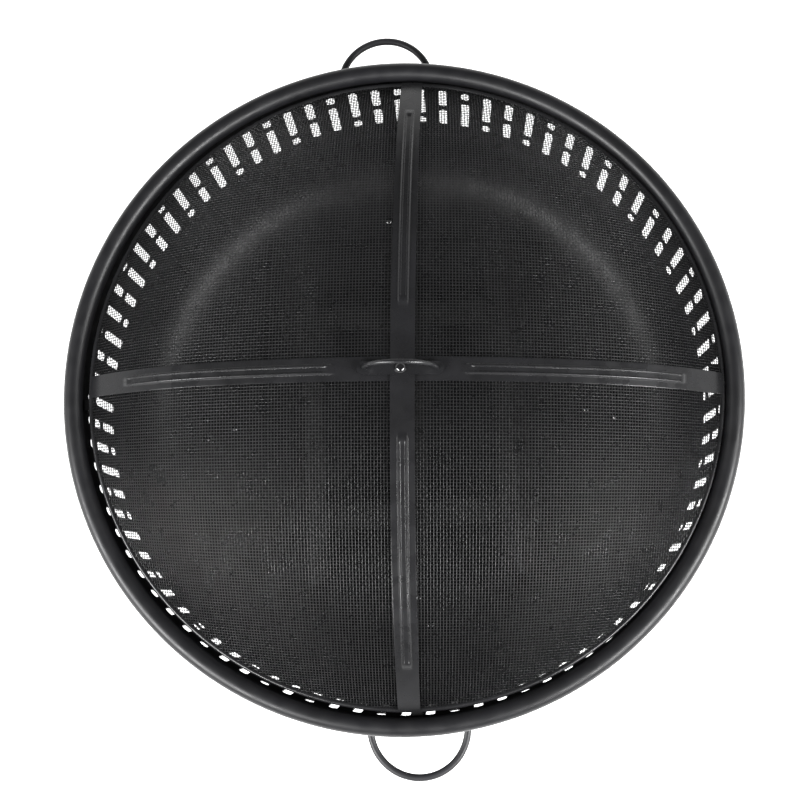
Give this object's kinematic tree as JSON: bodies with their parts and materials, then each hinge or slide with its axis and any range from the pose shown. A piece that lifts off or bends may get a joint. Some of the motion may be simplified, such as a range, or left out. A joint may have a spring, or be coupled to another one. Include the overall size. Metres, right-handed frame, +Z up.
{
  "type": "fire pit with grate",
  "caption": "Round steel fire pit with a slotted wall and dished bowl on bent tube legs, a lift-out log grate, two side handles and a domed mesh spark screen with crossed straps.",
  "frame": {"origin": "on the ground under the pit's axis", "axes": "+Z up along the pit's axis; the two side handles are on +Y and -Y"},
  "size_m": [0.7619, 0.8678, 0.6154],
  "materials": {
    "rim_paint": "satin black high-temperature paint on rolled steel tube",
    "bowl_paint": "semi-matt black high-temperature paint on sheet steel",
    "leg_paint": "semi-matt black powder coat on steel",
    "handle_paint": "satin black paint on round steel wire",
    "grate_paint": "matt black paint on angle steel",
    "mesh_coating": "matt black coated woven steel wire",
    "lid_paint": "satin black powder coat on steel strip and rod",
    "black_zinc": "glossy black zinc plating on steel",
    "foot_rubber": "matt moulded black rubber"
  },
  "bodies": {
    "pit": {"rim_ring": "rim_paint", "side_band": "bowl_paint", "fire_bowl": "bowl_paint", "leg_bracket_right": "leg_paint", "leg_bracket_back": "leg_paint", "leg_bracket_left": "leg_paint", "leg_bracket_front": "leg_paint", "leg_right": "leg_paint", "leg_back": "leg_paint", "leg_left": "leg_paint", "leg_front": "leg_paint", "foot_cap_right": "foot_rubber", "foot_cap_back": "foot_rubber", "foot_cap_left": "foot_rubber", "foot_cap_front": "foot_rubber", "leg_bolts": "black_zinc", "leg_washers": "black_zinc", "leg_nuts": "black_zinc", "side_handle_back": "handle_paint", "side_handle_front": "handle_paint", "lid_rest_right": "bowl_paint", "lid_rest_back": "bowl_paint", "lid_rest_left": "bowl_paint", "lid_rest_front": "bowl_paint"},
    "grate": {"grate_bar_left": "grate_paint", "grate_bar_centre": "grate_paint", "grate_bar_right": "grate_paint", "grate_cross_front": "grate_paint", "grate_cross_back": "grate_paint"},
    "lid": {"lid_hoop": "lid_paint", "lid_mesh": "mesh_coating", "strap_lower": "lid_paint", "strap_upper": "lid_paint", "lid_handle_base": "lid_paint", "lid_handle_loop": "lid_paint", "lid_screw": "black_zinc", "lid_washer": "black_zinc", "lid_nut": "black_zinc"}
  },
  "joints": [
    {"name": "lid_lift", "type": "slide", "parent": "pit", "child": "lid", "axis": [0, 0, 1], "range_m": [0, 0.45]},
    {"name": "grate_lift", "type": "slide", "parent": "pit", "child": "grate", "axis": [0, 0, 1], "range_m": [0, 0.22]}
  ]
}
